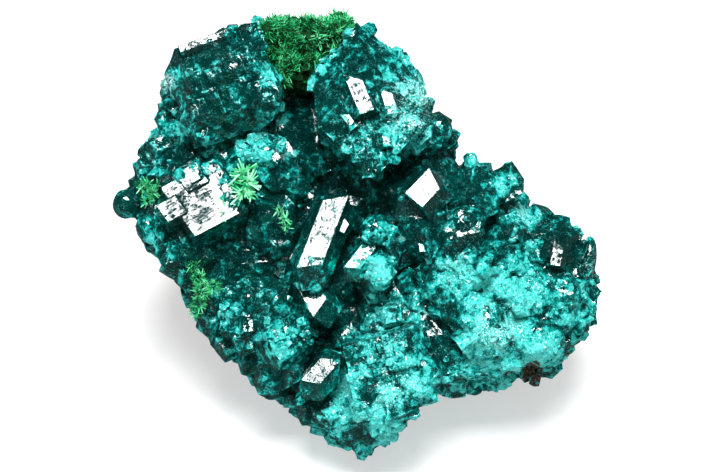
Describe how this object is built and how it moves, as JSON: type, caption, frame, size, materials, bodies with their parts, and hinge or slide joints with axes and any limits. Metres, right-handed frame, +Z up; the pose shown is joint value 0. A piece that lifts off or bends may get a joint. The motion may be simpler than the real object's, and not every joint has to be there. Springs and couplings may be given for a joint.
{
  "type": "dioptase",
  "caption": "Cluster of stubby blue-green dioptase crystals on brown matrix, with tufts of green malachite needles, resting on the flat foot of its rock.",
  "frame": {"origin": "bottom centre of the bounding box, on the surface that the specimen stands on", "axes": "+Z up from the flat foot of the matrix; +X along the specimen's long direction, to the right of someone who looks at the crystals; the crystal face leans back and looks up and towards -Y"},
  "size_m": [0.0492, 0.0401, 0.0368],
  "materials": {
    "dioptase": "glassy, translucent",
    "matrix": "rough, earthy",
    "malachite": "silky needles"
  },
  "bodies": {
    "root": {"dioptase_cluster": "dioptase", "matrix_rock": "matrix", "malachite_mat": "malachite", "malachite_spray_centre": "malachite", "malachite_spray_middle": "malachite", "malachite_spray_left": "malachite", "malachite_spray_lower": "malachite"}
  },
  "joints": []
}
